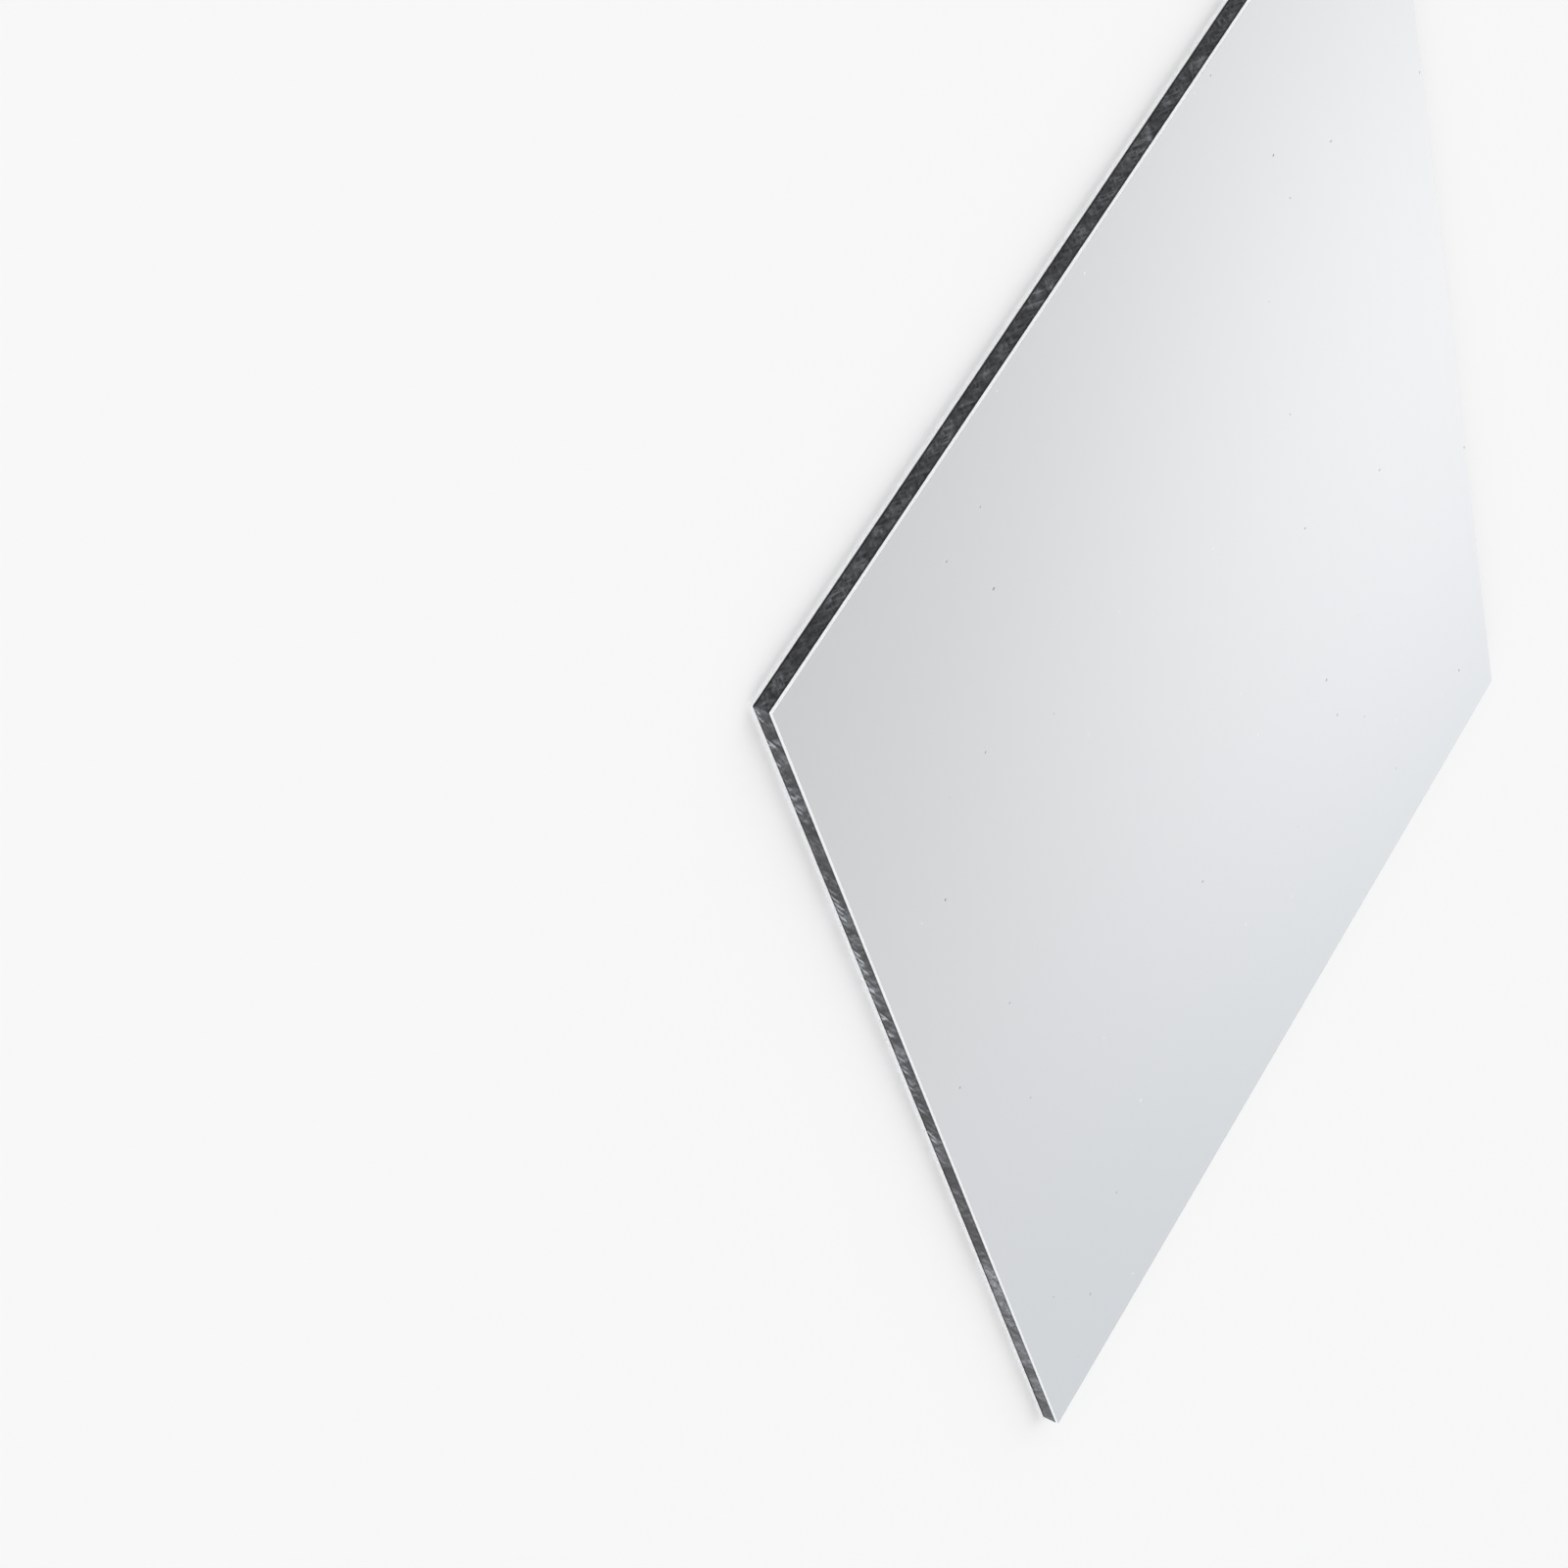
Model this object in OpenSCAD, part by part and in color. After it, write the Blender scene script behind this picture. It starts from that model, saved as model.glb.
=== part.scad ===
// Aluminium composite panel, a cut sheet of 4 mm board lying flat on its back.
// Two thin coil-coated aluminium skins are bonded to a black polyethylene core.
// The origin is the middle of the underside, +X runs along the length and +Z is up.

/* [Panel] */
// Length of the panel, along X
panel_length = 270; // [100:1:600]
// Width of the panel, along Y
panel_width = 200; // [80:1:400]
// Blunting of the four upright corners, so that they don't cut a hand
corner_break = 0.15; // [0.05:0.05:1]

/* [Layers] */
// Thickness of the aluminium skin on the face
face_skin_t = 0.5; // [0.3:0.05:0.8]
// Thickness of the polyethylene core
core_t = 3; // [1:0.5:5]
// Thickness of the aluminium skin on the back
back_skin_t = 0.5; // [0.3:0.05:0.8]

/* [Cut edges] */
// Radius of the skins' outer arrises, drawn over by the cut and deburred
arris_r = 0.1; // [0.05:0.01:0.25]
// How far the cut edge of the core lies behind the cut edges of the skins
core_setback = 0.02; // [0:0.01:0.2]

/* [Hidden] */
$fn = 48;
core_z = back_skin_t;
face_skin_z = back_skin_t + core_t;
// Extra length that carries a cutting profile clear of the sheet it shapes
clear = 1;

// Outline of the sheet seen from above, with its upright corners blunted,
// inset by setback on every side.
module sheet_outline(setback = 0) {
    x = panel_length / 2 - setback;
    y = panel_width / 2 - setback;
    b = corner_break;
    polygon([
        [x - b, -y], [x, -y + b], [x, y - b], [x - b, y],
        [-x + b, y], [-x, y - b], [-x, -y + b], [-x + b, -y]
    ]);
}

// Section of a skin across one direction: flat where it is bonded, at z = 0,
// and with a rounded arris at each end of its outer side.
module skin_section(across, thickness) {
    half = across / 2;
    translate([-half, 0]) square([across, thickness - arris_r]);
    translate([-half + arris_r, 0]) square([across - 2 * arris_r, thickness]);
    for (side = [-1, 1])
        translate([side * (half - arris_r), thickness - arris_r]) circle(r = arris_r);
}

// One aluminium skin, bonded side down at z = 0 and outer side up.
module skin(thickness) {
    intersection() {
        linear_extrude(height = thickness) sheet_outline();
        rotate([90, 0, 0])
            linear_extrude(height = panel_width + 2 * clear, center = true)
                skin_section(panel_length, thickness);
        rotate([90, 0, 90])
            linear_extrude(height = panel_length + 2 * clear, center = true)
                skin_section(panel_width, thickness);
    }
}

// The skin that the panel lies on, turned so that its outer side faces down.
module back_skin() {
    color([0.72, 0.73, 0.74])
        translate([0, 0, back_skin_t]) mirror([0, 0, 1]) skin(back_skin_t);
}

// The extruded core between the skins.
module core() {
    color([0.13, 0.13, 0.14])
        translate([0, 0, core_z])
            linear_extrude(height = core_t) sheet_outline(core_setback);
}

// The skin that shows, with the finished coat on its outer side.
module face_skin() {
    color([0.84, 0.85, 0.86])
        translate([0, 0, face_skin_z]) skin(face_skin_t);
}

back_skin();
core();
face_skin();
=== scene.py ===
import bpy
import numpy as np
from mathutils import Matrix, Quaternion, Vector


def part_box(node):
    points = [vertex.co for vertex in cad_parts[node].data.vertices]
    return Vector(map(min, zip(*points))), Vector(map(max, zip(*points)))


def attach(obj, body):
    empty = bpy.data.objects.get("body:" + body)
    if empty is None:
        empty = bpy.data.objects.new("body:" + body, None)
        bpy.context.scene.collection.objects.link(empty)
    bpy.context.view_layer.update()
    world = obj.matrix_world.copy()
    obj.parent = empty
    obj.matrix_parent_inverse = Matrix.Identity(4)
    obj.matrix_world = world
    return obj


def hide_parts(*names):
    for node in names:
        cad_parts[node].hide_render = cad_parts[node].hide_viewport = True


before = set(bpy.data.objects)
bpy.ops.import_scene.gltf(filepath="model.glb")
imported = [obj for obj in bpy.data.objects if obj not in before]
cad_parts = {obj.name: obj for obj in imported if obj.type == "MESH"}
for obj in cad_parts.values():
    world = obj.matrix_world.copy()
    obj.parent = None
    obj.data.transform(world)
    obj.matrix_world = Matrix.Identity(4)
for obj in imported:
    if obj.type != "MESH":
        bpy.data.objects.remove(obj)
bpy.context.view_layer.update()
scene = bpy.context.scene


# The camera looks down on the flat panel from the photograph's own angle to it, 26 degrees above the
# face and over the near corner. It is turned about its own axis, so that the panel stands in the
# picture as it does there.
aim = Vector((-0.11222, -0.09961, 0.0))
distance = 0.58319
toward = Vector((0.82177, 0.36295, -0.43928))
turn = np.radians(112.566)
camera = bpy.data.objects.new("camera", bpy.data.cameras.new("camera"))
scene.collection.objects.link(camera)
camera.data.sensor_width = 36
camera.data.lens = 87.333
camera.location = aim - distance * toward.normalized()
camera.rotation_mode = "QUATERNION"
camera.rotation_quaternion = toward.to_track_quat("-Z", "Y") @ Quaternion((0, 0, 1), turn)
scene.camera = camera


# The core is 3 mm of black polyethylene, bonded between the two skins. A circular saw cut the panel
# out of a large board, so its four sides show the slanting marks that the teeth left on their way in
# and on their way out, and pale smears of worn plastic.
core_low, core_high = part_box("core")
corner_blunt = 0.00015
core_step = 0.0002
core_rows = 18
corner_ease = 0.0008
row_margin = 0.07
noise_values = 8192
tooth_values = 4096


def outline(half_x, half_y, step):
    """The outline of a sheet, counter-clockwise from its near left corner, as points a step apart.

    Each side runs in equal steps from one blunted corner to the next, and each blunted corner is one
    step more. Gives the points' places, the outward direction of the side that each is on, the
    distance round at each point and back at the first, the number of the side (near, right, far,
    left) and the distance to its nearer end."""
    x, y, b = half_x, half_y, corner_blunt
    starts = np.array([(-x + b, -y), (x, -y + b), (x - b, y), (-x, y - b)])
    ends = np.array([(x - b, -y), (x, y - b), (-x + b, y), (-x, -y + b)])
    outward = np.array([(0, -1), (1, 0), (0, 1), (-1, 0)])
    lengths = np.linalg.norm(ends - starts, axis=1)
    steps = np.round(lengths / step).astype(int)
    side = np.repeat(np.arange(4), steps + 1)
    share = np.concatenate([np.linspace(0, 1, n + 1) for n in steps])
    places = starts[side] + share[:, None] * (ends - starts)[side]
    gaps = np.linalg.norm(np.roll(places, -1, 0) - places, axis=1)
    round_it = np.concatenate([[0], np.cumsum(gaps)])
    to_end = np.minimum(share, 1 - share) * lengths[side]
    return places, outward[side], round_it, side, to_end


def board_faces(levels, count, long_steps):
    """The faces of a closed board, made of levels rings of count points, one above the other.

    Bands of quads join each ring to the next. The top and the underside are quads straight across
    between the long sides, which have long_steps steps, with a fan of triangles at each short side.
    Gives the quads, the triangles and the number of the band that each face is in, quads first, with
    the top and the underside as the last two numbers."""
    half = count // 2
    here = np.arange(count)
    after = (here + 1) % count
    low = count * np.arange(levels - 1)[:, None]
    bands = np.stack([low + here, low + after, low + count + after, low + count + here], -1)
    rung = np.arange(long_steps)
    opposite = half + long_steps - rung
    across = np.stack([rung, rung + 1, opposite - 1, opposite], -1)
    end = np.arange(long_steps + 1, half)
    fan = np.stack([np.full_like(end, long_steps), end, end + 1], -1)
    fans = np.concatenate([fan, (fan + half) % count])
    top = count * (levels - 1)
    quads = np.concatenate([bands.reshape(-1, 4), top + across, across[:, ::-1]])
    triangles = np.concatenate([top + fans, fans[:, ::-1]])
    band = np.repeat(np.arange(levels + 1), [count] * (levels - 1) + [long_steps] * 2)
    band = np.concatenate([band, np.repeat([levels - 1, levels], len(fans))])
    return quads, triangles, band


def board_mesh(name, rings, round_it, heights, rows, rows_height, top_box, bottom_box):
    """A closed board: rings of points one above the other, and the flat faces that close them.

    The UV map cut_edge holds the distance round and the height on the bands, in metres, and the
    place on the flat faces. The UV map OFBake cuts the bands into rows that fill the map's lower
    part up to rows_height, so that a side a few millimetres high keeps its marks. The top and the
    underside fill the two boxes, each given as u and v of its lowest and of its highest corner.
    Gives the mesh and the number of the band of each face."""
    levels, count = rings.shape[:2]
    near = rings[0, :, 1]
    long_steps = int(np.argmax(near > near.min() + corner_blunt / 2)) - 1
    quads, triangles, band = board_faces(levels, count, long_steps)
    mesh = bpy.data.meshes.new(name)
    mesh.from_pydata(rings.reshape(-1, 3).tolist(), [], quads.tolist() + triangles.tolist())
    mesh.polygons.foreach_set("use_smooth", band < levels - 1)

    on_bands = count * (levels - 1)
    level, step = np.divmod(np.arange(on_bands)[:, None], count)
    step_of_corner = step + np.array([0, 1, 1, 0])
    level_of_corner = level + np.array([0, 0, 1, 1])
    edge = np.stack([round_it[step_of_corner], heights[level_of_corner]], -1).reshape(-1, 2)
    flat_corners = np.concatenate([quads[on_bands:].ravel(), triangles.ravel()])
    flat = rings.reshape(-1, 3)[flat_corners, :2]
    edge_map = mesh.uv_layers.new(name="cut_edge")
    edge_map.uv.foreach_set("vector", np.concatenate([edge, flat]).ravel())

    row_steps = -(-count // rows)
    row = step // row_steps
    rise = (heights - heights[0]) / (heights[-1] - heights[0])
    rise = row_margin + (1 - 2 * row_margin) * rise
    row_u = (step_of_corner - row * row_steps) / row_steps
    row_v = (row + rise[level_of_corner]) / rows * rows_height
    rows_uv = np.stack([row_u, row_v], -1).reshape(-1, 2)
    corners = np.repeat([4, 3], [2 * long_steps, len(triangles)])
    on_top = np.repeat(band[on_bands:] == levels - 1, corners)[:, None]
    box = np.where(on_top, top_box, bottom_box)
    share = (flat - flat.min(0)) / np.ptp(flat, axis=0)
    faces_uv = box[:, :2] + share * (box[:, 2:] - box[:, :2])
    bake_map = mesh.uv_layers.new(name="OFBake")
    bake_map.uv.foreach_set("vector", np.concatenate([rows_uv, faces_uv]).ravel())
    return mesh, band


def smooth_step(share):
    """Rises from 0 to 1, level at both ends: three times the square less twice the cube."""
    share = np.clip(share, 0, 1)
    return share * share * (3 - 2 * share)


def smooth_noise(along, pitch, seed):
    """Random heights from 0 to 1, a pitch apart along the side, joined by smooth steps."""
    heights = np.random.default_rng(seed).random(noise_values)
    spot = along / pitch
    before = np.floor(spot).astype(int)
    share = smooth_step(spot - before)
    after = (before + 1) % noise_values
    return (1 - share) * heights[before % noise_values] + share * heights[after]


def leaning_noise(along, up, pitch, lean, seed):
    """Smooth noise that moves back along the side by lean from the underside to the top."""
    return smooth_noise(along + lean * up, pitch, seed)


def tooth_marks(along, up, pitch, lean, widths, reach, seed):
    """Marks that teeth leave, from 0 to 1: bell curves across lines that lie about a pitch apart.

    The lines wander a little and lean as leaning noise does. Each has its own random strength,
    squared, and its own random width between the two widths, which are shares of a pitch. It starts
    at the underside, where up is 0, and fades out at its own height, at most reach, where up is 1
    at the top."""
    wander = 0.5 * pitch
    narrowest, widest = widths
    shortest = 0.3
    fading = 0.07
    strength, width, length = np.random.default_rng(seed).random((3, tooth_values))
    place = along + lean * up + wander * smooth_noise(along, 1.7 * pitch, seed + 1)
    tooth = np.floor(place / pitch).astype(int)
    beside = place / pitch - tooth - 0.5
    tooth = tooth % tooth_values
    bell = np.exp(-((beside / (narrowest + (widest - narrowest) * width[tooth])) ** 2))
    top = reach * (shortest + (1 - shortest) * length[tooth])
    return strength[tooth] ** 2 * bell / (1 + np.exp((up - top) / fading))


middle = 0.5 * (core_high + core_low)
half_x, half_y = core_high.x - middle.x, core_high.y - middle.y
points, outward, core_round, side, to_end = outline(half_x, half_y, core_step)
core_heights = np.linspace(core_low.z, core_high.z, core_rows + 1)
up = np.linspace(0, 1, core_rows + 1)[:, None]
along = core_round[None, :-1]
cuts_in = tooth_marks(
    along, up, pitch=0.0029, lean=0.0034, widths=(0.05, 0.15), reach=1.3, seed=31)
cuts_out = tooth_marks(
    along, up, pitch=0.0037, lean=-0.0028, widths=(0.05, 0.15), reach=1.3, seed=37)
cuts = cuts_in + cuts_out
worn_in = leaning_noise(along, up, pitch=0.0012, lean=0.0032, seed=5)
worn_out = leaning_noise(along, up, pitch=0.0014, lean=-0.0024, seed=7)
patches = worn_in * worn_out
clean_scuff = 0.05
patch_scuff = 0.14
cut_scuff = 0.08
scuff = clean_scuff + patch_scuff * patches + cut_scuff * cuts

# The blade rubbed along the near side. Pale flecks start at the underside along its first half, a
# smooth stretch follows, and the rest is smeared across, thinner towards its end.
run = along / (2 * half_x)
flecked_to = 0.56
smeared_from = 0.705
smear_ease = 0.03
thinner_from = 0.90
flecks_in = tooth_marks(
    along, up, pitch=0.0022, lean=-0.0024, widths=(0.09, 0.28), reach=0.65, seed=47)
flecks_out = tooth_marks(
    along, up, pitch=0.0031, lean=0.0016, widths=(0.09, 0.28), reach=0.55, seed=53)
rubbing = 0.4 + 0.6 * smooth_noise(along, pitch=0.009, seed=59)
flecks = ((flecks_in + 0.6 * flecks_out) * rubbing) ** 2
smear = 0.04 + 0.38 * leaning_noise(along, up, pitch=0.0022, lean=-0.0012, seed=9)
smear = smear * np.clip((run - smeared_from) / smear_ease, 0, 1)
rubbed_clean = 0.035
rubbed_patches = 0.42 * np.where(run < flecked_to, 1, 0.75) * patches
rubbed_flecks = 4.8 * np.where(run < flecked_to, 1, 0) * flecks
rubbed_smear = np.where(run < thinner_from, 1, 0.35) * smear
rubbed = rubbed_clean + rubbed_patches + rubbed_flecks + rubbed_smear

# Next to each skin the core is sunk by a hair. Its pale scuff also fades out there as painted shade,
# so the core stays black beside the skins.
bond_from = 0.04
bond_over = 0.14
# Painted shade beside the skins: this falls to 0 at each skin, where it takes the pale scuff and
# rubbing away. It also sets how far the core is sunk.
bond_sink_and_shade = smooth_step((np.minimum(up, 1 - up) - bond_from) / bond_over)
rubbed_in_bond_shade = 0.4
# Painted shade: the rubbing on the near side keeps only part of its paleness next to each skin.
rubbed = rubbed * (rubbed_in_bond_shade + (1 - rubbed_in_bond_shade) * bond_sink_and_shade)
scuff = np.clip(np.where(side == 0, rubbed, scuff * bond_sink_and_shade), 0, 1)
chatter = leaning_noise(along, up, pitch=0.0031, lean=0.004, seed=3)
chatter_depth = 0.000012
patch_depth = 0.000015
cut_depth = 0.000025
bond_depth = 0.00008
depth = chatter_depth * chatter + patch_depth * patches + cut_depth * cuts + bond_depth * (1 - bond_sink_and_shade)
depth = depth * np.clip(to_end / corner_ease, 0, 1)
rings = np.empty((core_rows + 1, len(points), 3))
rings[..., :2] = points - depth[..., None] * outward + np.array([middle.x, middle.y])
rings[..., 2] = core_heights[:, None]
core_mesh, _ = board_mesh(
    "core_board", rings, core_round, core_heights, rows=10, rows_height=0.9,
    top_box=(0.0, 0.92, 0.4, 1.0), bottom_box=(0.6, 0.92, 1.0, 1.0))
worn = core_mesh.attributes.new("scuff", "FLOAT", "POINT")
worn.data.foreach_set("value", scuff.ravel())


def set_inputs(tree, node, inputs):
    """Gives each named input of a node its value, or a link where that is a node's output."""
    for name, value in inputs.items():
        if isinstance(value, bpy.types.NodeSocket):
            tree.links.new(value, node.inputs[name])
        else:
            node.inputs[name].default_value = value


def add_node(tree, kind, inputs, **settings):
    """Adds a shader node of a kind to a tree, with its inputs and its settings."""
    node = tree.nodes.new("ShaderNode" + kind)
    for name, value in settings.items():
        setattr(node, name, value)
    set_inputs(tree, node, inputs)
    return node


def new_group(name, inputs, outputs):
    """A shader node group, with the type and value of each input and the type of each output.

    Gives the group, the sockets that its inputs come in by, and the node that its outputs go to."""
    group = bpy.data.node_groups.new(name, "ShaderNodeTree")
    for label, (kind, value) in inputs.items():
        socket = group.interface.new_socket(label, in_out="INPUT", socket_type="NodeSocket" + kind)
        if value is not None:
            socket.default_value = value
    for label, kind in outputs.items():
        group.interface.new_socket(label, in_out="OUTPUT", socket_type="NodeSocket" + kind)
    return group, group.nodes.new("NodeGroupInput").outputs, group.nodes.new("NodeGroupOutput")


def new_material(name):
    """A material with its node tree and its shader."""
    material = bpy.data.materials.new(name)
    material.use_nodes = True
    return material, material.node_tree, material.node_tree.nodes["Principled BSDF"]


# Saw lines are noise on the distance round, divided by the pitch, and the height, divided by the
# reach. They lean by the slant.
saw_lines, given, out = new_group(
    "saw lines",
    {"Place": ("Vector", None), "Pitch": ("Float", 0.0003), "Reach": ("Float", 0.001),
     "Slant": ("Float", 1.0)},
    {"Lines": "Float"})
parts = add_node(saw_lines, "SeparateXYZ", {"Vector": given["Place"]})
leaning = add_node(
    saw_lines, "Math", {0: parts.outputs["Y"], 1: given["Slant"], 2: parts.outputs["X"]},
    operation="MULTIPLY_ADD")
across = add_node(
    saw_lines, "Math", {0: leaning.outputs[0], 1: given["Pitch"]}, operation="DIVIDE")
rise = add_node(
    saw_lines, "Math", {0: parts.outputs["Y"], 1: given["Reach"]}, operation="DIVIDE")
spot = add_node(
    saw_lines, "CombineXYZ", {"X": across.outputs[0], "Y": rise.outputs[0], "Z": given["Slant"]})
noise = add_node(saw_lines, "TexNoise", {"Vector": spot.outputs[0], "Scale": 1.0, "Detail": 2.0})
spread = add_node(
    saw_lines, "MapRange", {"Value": noise.outputs["Fac"], "From Min": 0.38, "From Max": 0.72})
set_inputs(saw_lines, out, {"Lines": spread.outputs["Result"]})

core_material, tree, shader = new_material("sawn black polyethylene")
place = add_node(tree, "UVMap", {}, uv_map="cut_edge")
worn = add_node(tree, "Attribute", {}, attribute_name="scuff")
way_in = add_node(
    tree, "Group", {"Place": place.outputs[0], "Pitch": 0.0008, "Reach": 0.0013, "Slant": 1.1},
    node_tree=saw_lines)
way_out = add_node(
    tree, "Group", {"Place": place.outputs[0], "Pitch": 0.0007, "Reach": 0.0011, "Slant": -0.8},
    node_tree=saw_lines)
lines = add_node(
    tree, "Math", {0: way_in.outputs["Lines"], 1: way_out.outputs["Lines"]}, operation="MAXIMUM")
pale_on_lines = 1.8
pale_between = 0.1
strength = add_node(
    tree, "Math", {0: lines.outputs[0], 1: pale_on_lines, 2: pale_between},
    operation="MULTIPLY_ADD")
pale = add_node(
    tree, "Math", {0: strength.outputs[0], 1: worn.outputs["Fac"]}, operation="MULTIPLY")
black = (0.005, 0.005, 0.0054, 1)
smeared = (0.508, 0.53, 0.57, 1)
colour = add_node(
    tree, "Mix", {"Factor": pale.outputs[0], "A": black, "B": smeared}, data_type="RGBA")
rough = add_node(tree, "MapRange", {"Value": pale.outputs[0], "To Min": 0.45, "To Max": 0.75})
bump = add_node(tree, "Bump", {"Height": lines.outputs[0], "Strength": 0.5, "Distance": 0.00002})
set_inputs(tree, shader, {
    "Base Color": colour.outputs["Result"], "Roughness": rough.outputs["Result"],
    "Normal": bump.outputs["Normal"], "Specular IOR Level": 0.3})
core_mesh.materials.append(core_material)
core_board = bpy.data.objects.new("core_board", core_mesh)
scene.collection.objects.link(core_board)
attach(core_board, "root")
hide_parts("core")


# The skins are two sheets of aluminium, 0.5 mm thick, coated on the coil and bonded to the core. The
# saw left their cut sides bare and drew their outer arrises over by about a tenth of a millimetre.
# The face has a satin silver coat, and the underside a plain matt grey service coat.
arris = 0.0001
skin_step = 0.0005
cut_rows = 3
arris_rows = 5
nick_depth = 0.000006
nick_slant = 1.2


def skin_rings(node, outer_up):
    """Rings of points for one skin, from its lowest to its highest.

    The cut side runs straight from the bonded side. The arris is a quarter circle, whose radius
    swells and ripples a little along the side. Shallow nicks run round the cut side."""
    low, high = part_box(node)
    middle = 0.5 * (low + high)
    half_x, half_y = high.x - middle.x, high.y - middle.y
    places, outward, round_it, side, to_end = outline(half_x, half_y, skin_step)
    along = round_it[:-1]
    swell = 0.35 * smooth_noise(along, pitch=0.004, seed=61)
    ripple = 0.05 * smooth_noise(along, pitch=0.0009, seed=67)
    drawn = arris * (0.8 + swell + ripple)
    angle = np.linspace(0, np.pi / 2, arris_rows + 1)[:, None]
    thickness = high.z - low.z
    straight = np.linspace(0, 1, cut_rows + 1)[:-1, None] * (thickness - drawn)
    rise = np.concatenate([straight, thickness - drawn * (1 - np.sin(angle))])
    inset = np.concatenate([np.zeros_like(straight), drawn * (1 - np.cos(angle))])
    nicks = nick_depth * smooth_noise(along + nick_slant * rise, pitch=0.0012, seed=71)
    nicks = nicks * np.clip(to_end / corner_ease, 0, 1)
    inset[:-1] += nicks[:-1]
    rings = np.empty(rise.shape + (3,))
    rings[..., :2] = places - inset[..., None] * outward + np.array([middle.x, middle.y])
    rings[..., 2] = low.z + rise if outer_up else high.z - rise
    return rings if outer_up else rings[::-1], round_it


def skin_piece(name, node, outer_up, coat, metal, **bake_layout):
    """Makes one skin, with the coat on its flat outer face and bare metal everywhere else."""
    rings, round_it = skin_rings(node, outer_up)
    mesh, band = board_mesh(name, rings, round_it, rings[..., 2].mean(1), **bake_layout)
    outer_face = len(rings) - 1 if outer_up else len(rings)
    mesh.materials.append(coat)
    mesh.materials.append(metal)
    mesh.polygons.foreach_set("material_index", np.where(band == outer_face, 0, 1))
    piece = bpy.data.objects.new(name, mesh)
    scene.collection.objects.link(piece)
    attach(piece, "root")
    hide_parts(node)
    return piece


metal, tree, shader = new_material("bare sawn aluminium")
place = add_node(tree, "UVMap", {}, uv_map="cut_edge")
lines = add_node(
    tree, "Group", {"Place": place.outputs[0], "Pitch": 0.00025, "Reach": 0.001, "Slant": 0.8},
    node_tree=saw_lines)
dull = (0.95, 0.955, 0.96, 1)
bright = (0.99, 0.99, 0.99, 1)
colour = add_node(
    tree, "Mix", {"Factor": lines.outputs["Lines"], "A": dull, "B": bright}, data_type="RGBA")
rough = add_node(
    tree, "MapRange", {"Value": lines.outputs["Lines"], "To Min": 0.85, "To Max": 0.95})
bump = add_node(
    tree, "Bump", {"Height": lines.outputs["Lines"], "Strength": 0.5, "Distance": 0.00001})
set_inputs(tree, shader, {
    "Base Color": colour.outputs["Result"], "Roughness": rough.outputs["Result"],
    "Normal": bump.outputs["Normal"], "Metallic": 1.0})

# The coats share their grain: fine flakes, lines along the rolling direction, and the soft waves of
# wet paint.
coat_grain, given, out = new_group(
    "coat grain", {"Flake Size": ("Float", 0.00016), "Wave Size": ("Float", 0.0014)},
    {"Flakes": "Float", "Rolling": "Float", "Waves": "Float"})
place = add_node(coat_grain, "TexCoord", {}).outputs["Object"]
flake_scale = add_node(coat_grain, "Math", {0: 1.0, 1: given["Flake Size"]}, operation="DIVIDE")
flakes = add_node(
    coat_grain, "TexVoronoi", {"Vector": place, "Scale": flake_scale.outputs[0]})
flake = add_node(coat_grain, "SeparateColor", {"Color": flakes.outputs["Color"]})
rolled = (30.0, 1800.0, 1800.0)
stretched = add_node(coat_grain, "Mapping", {"Vector": place, "Scale": rolled})
rolling = add_node(
    coat_grain, "TexNoise", {"Vector": stretched.outputs[0], "Scale": 1.0, "Detail": 4.0})
wave_scale = add_node(coat_grain, "Math", {0: 1.0, 1: given["Wave Size"]}, operation="DIVIDE")
waves = add_node(
    coat_grain, "TexNoise", {"Vector": place, "Scale": wave_scale.outputs[0], "Detail": 1.0})
set_inputs(coat_grain, out, {
    "Flakes": flake.outputs["Red"], "Rolling": rolling.outputs["Fac"],
    "Waves": waves.outputs["Fac"]})

service, tree, shader = new_material("matt grey service coat")
grain = add_node(tree, "Group", {"Flake Size": 0.0003, "Wave Size": 0.0022}, node_tree=coat_grain)
thin = (0.40, 0.41, 0.42, 1)
thick = (0.56, 0.57, 0.58, 1)
colour = add_node(
    tree, "Mix", {"Factor": grain.outputs["Rolling"], "A": thin, "B": thick}, data_type="RGBA")
rough = add_node(tree, "MapRange", {"Value": grain.outputs["Flakes"], "To Min": 0.5, "To Max": 0.62})
bump = add_node(
    tree, "Bump", {"Height": grain.outputs["Waves"], "Strength": 0.3, "Distance": 0.00001})
set_inputs(tree, shader, {
    "Base Color": colour.outputs["Result"], "Roughness": rough.outputs["Result"],
    "Normal": bump.outputs["Normal"], "Metallic": 0.3})
back_sheet = skin_piece(
    "back_sheet", "back_skin", False, service, metal, rows=8, rows_height=0.25,
    top_box=(0.0, 0.97, 0.1, 1.0), bottom_box=(0.0, 0.26, 1.0, 0.96))

# A few specks of dust lie on the face: small balls about random points, on some of the points only.
silver, tree, shader = new_material("satin silver coat")
grain = add_node(tree, "Group", {"Flake Size": 0.00016, "Wave Size": 0.0014}, node_tree=coat_grain)
place = add_node(tree, "TexCoord", {}).outputs["Object"]
specks = add_node(tree, "TexVoronoi", {"Vector": place, "Scale": 62.0}, voronoi_dimensions="2D")
chance = add_node(tree, "SeparateColor", {"Color": specks.outputs["Color"]})
size = add_node(
    tree, "MapRange", {"Value": chance.outputs["Red"], "From Min": 0.55, "To Max": 0.018})
dust = add_node(
    tree, "Math", {0: specks.outputs["Distance"], 1: size.outputs["Result"]},
    operation="LESS_THAN")
flake_dark = (0.694, 0.697, 0.710, 1)
flake_light = (0.726, 0.729, 0.743, 1)
dust_dark = (0.30, 0.29, 0.28, 1)
dust_pale = (0.93, 0.93, 0.93, 1)
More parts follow.
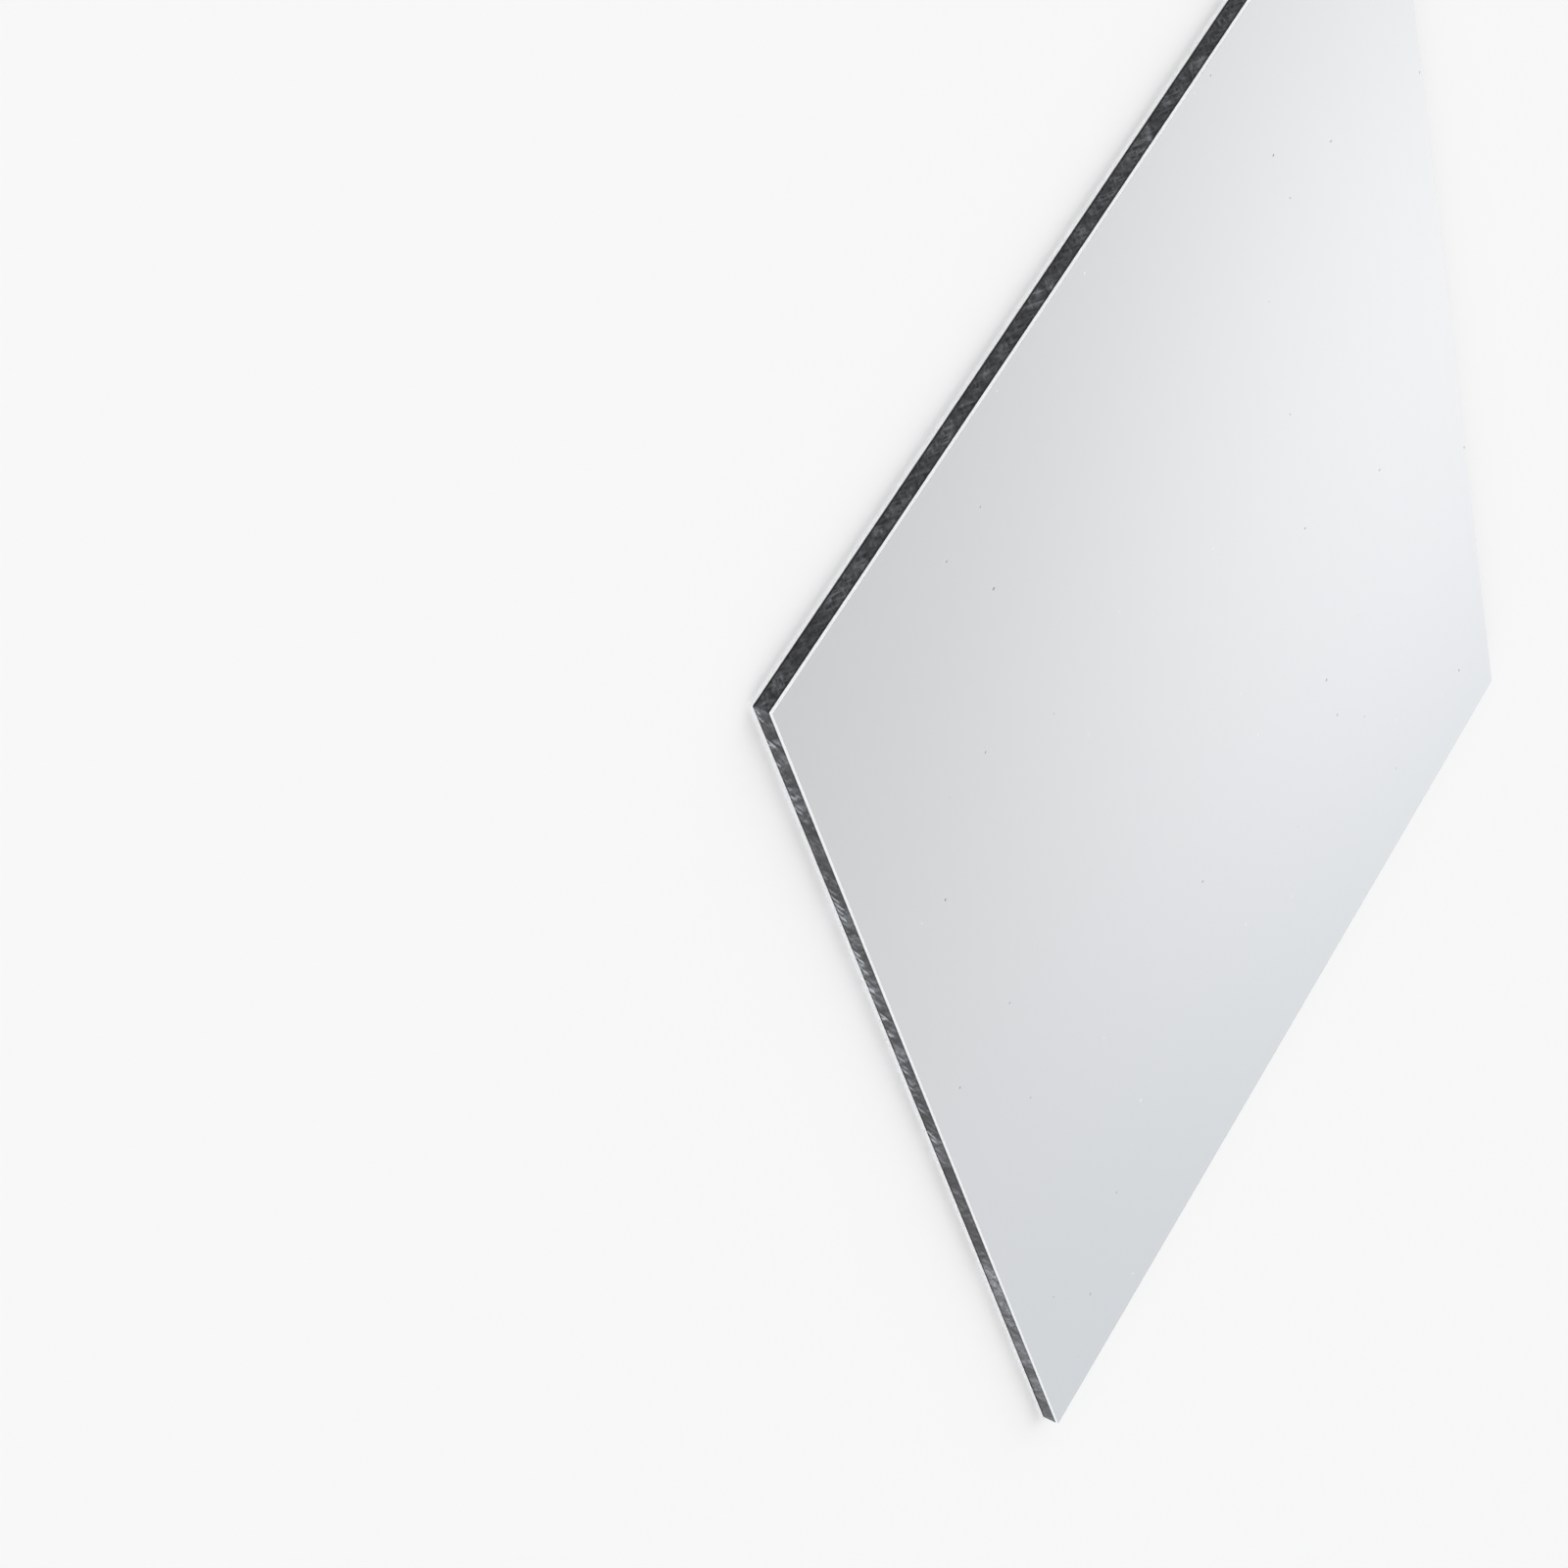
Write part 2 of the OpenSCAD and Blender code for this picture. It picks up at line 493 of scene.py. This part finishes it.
pale_above = 0.6
rolling_share = 0.5
dust_rougher = 0.6
sparkle = add_node(
    tree, "Math", {0: grain.outputs["Rolling"], 1: rolling_share, 2: grain.outputs["Flakes"]},
    operation="MULTIPLY_ADD")
coat = add_node(
    tree, "Mix", {"Factor": sparkle.outputs[0], "A": flake_dark, "B": flake_light},
    data_type="RGBA")
pale_speck = add_node(
    tree, "Math", {0: chance.outputs["Green"], 1: pale_above}, operation="GREATER_THAN")
speck = add_node(
    tree, "Mix", {"Factor": pale_speck.outputs[0], "A": dust_dark, "B": dust_pale},
    data_type="RGBA")
colour = add_node(
    tree, "Mix",
    {"Factor": dust.outputs[0], "A": coat.outputs["Result"], "B": speck.outputs["Result"]},
    data_type="RGBA")
gloss = add_node(
    tree, "MapRange", {"Value": grain.outputs["Rolling"], "To Min": 0.165, "To Max": 0.195})
rough = add_node(
    tree, "Math", {0: dust.outputs[0], 1: dust_rougher, 2: gloss.outputs["Result"]},
    operation="MULTIPLY_ADD")
metallic = add_node(tree, "Math", {0: 1.0, 1: dust.outputs[0]}, operation="SUBTRACT")
bump = add_node(
    tree, "Bump", {"Height": grain.outputs["Waves"], "Strength": 0.2, "Distance": 0.000003})
set_inputs(tree, shader, {
    "Base Color": colour.outputs["Result"], "Roughness": rough.outputs[0],
    "Metallic": metallic.outputs[0], "Normal": bump.outputs["Normal"]})
face_sheet = skin_piece(
    "face_sheet", "face_skin", True, silver, metal, rows=8, rows_height=0.25,
    top_box=(0.0, 0.26, 1.0, 1.0), bottom_box=(0.0, 0.0, 0.01, 0.01))


# The floor is plain, pale and matt, and wide enough to reach the horizon in a low view. It lies a
# hair below the underside, so that the two faces don't meet.
floor_reach = 15.0
floor_z = -0.00002
floor_mesh = bpy.data.meshes.new("floor")
floor_mesh.from_pydata(
    [(-floor_reach, -floor_reach, floor_z), (floor_reach, -floor_reach, floor_z),
     (floor_reach, floor_reach, floor_z), (-floor_reach, floor_reach, floor_z)],
    [], [(0, 1, 2, 3)])
floor_material, tree, shader = new_material("matt white floor")
floor_white = (0.94, 0.94, 0.943, 1)
set_inputs(tree, shader, {"Base Color": floor_white, "Roughness": 0.9, "Specular IOR Level": 0.1})
floor_mesh.materials.append(floor_material)
floor = bpy.data.objects.new("floor", floor_mesh)
scene.collection.objects.link(floor)


# The light is a plain soft studio. All of it comes from the pale room around the panel, so it is
# even over the floor and no lamp shows as a hot spot. One broad window on the camera's side lights
# the cut sides, and a small one, low ahead of the camera, is what the face reflects.
world = bpy.data.worlds.new("pale room")
scene.world = world
world.use_nodes = True
tree = world.node_tree
way = add_node(tree, "TexCoord", {}).outputs["Generated"]
parts = add_node(tree, "SeparateXYZ", {"Vector": way})
ramp = add_node(tree, "ValToRGB", {"Fac": parts.outputs["Z"]})
# The room's brightness at each height, which is the sine of the elevation
room = {
    0.0: 0.94, 0.14: 0.93, 0.26: 0.772, 0.36: 0.962, 0.5: 0.706, 0.66: 0.92, 0.84: 1.05, 1.0: 1.08}
# The shares of red, green and blue at the heights where it is a little blue
bluish = {0.26: (0.92, 1.0, 1.055), 0.36: (0.988, 1.0, 1.008)}
stops = ramp.color_ramp.elements
for height in list(room)[1:-1]:
    stops.new(height)
for stop, (height, brightness) in zip(stops, room.items()):
    red, green, blue = bluish.get(height, (1, 1, 1))
    stop.color = (brightness * red, brightness * green, brightness * blue, 1)


def soft_window(light, azimuth, height, half_width, half_height, edge, brightness):
    """Adds a soft round window to the room's light and gives the light with it.

    Its middle lies on this azimuth, in degrees from +X, and at this height, the sine of its
    elevation. Its half sizes are on the same scale. It fades over this share of them, and a
    brightness of 1 is white."""
    ahead = 0.6
    turned = add_node(tree, "Mapping", {"Vector": way, "Rotation": (0, 0, -np.radians(azimuth))})
    fitted = add_node(tree, "Mapping", {
        "Vector": turned.outputs[0], "Scale": (ahead, 1 / half_width, 1 / half_height),
        "Location": (-ahead, 0, -height / half_height)})
    ball = add_node(tree, "TexGradient", {"Vector": fitted.outputs[0]}, gradient_type="SPHERICAL")
    fade = add_node(
        tree, "MapRange", {"Value": ball.outputs["Fac"], "From Max": edge},
        interpolation_type="SMOOTHSTEP")
    white = (brightness, brightness, brightness, 1)
    lit = add_node(
        tree, "Mix", {"Factor": fade.outputs[0], "A": light, "B": white}, data_type="RGBA")
    return lit.outputs["Result"]


light = soft_window(
    ramp.outputs["Color"], azimuth=226, height=0.45, half_width=1.2, half_height=0.45, edge=0.6,
    brightness=1.2)
light = soft_window(
    light, azimuth=36.1, height=0.33, half_width=0.342, half_height=0.1, edge=1.0,
    brightness=1.423)
set_inputs(tree, tree.nodes["Background"], {"Color": light})

scene.view_settings.view_transform = "Standard"
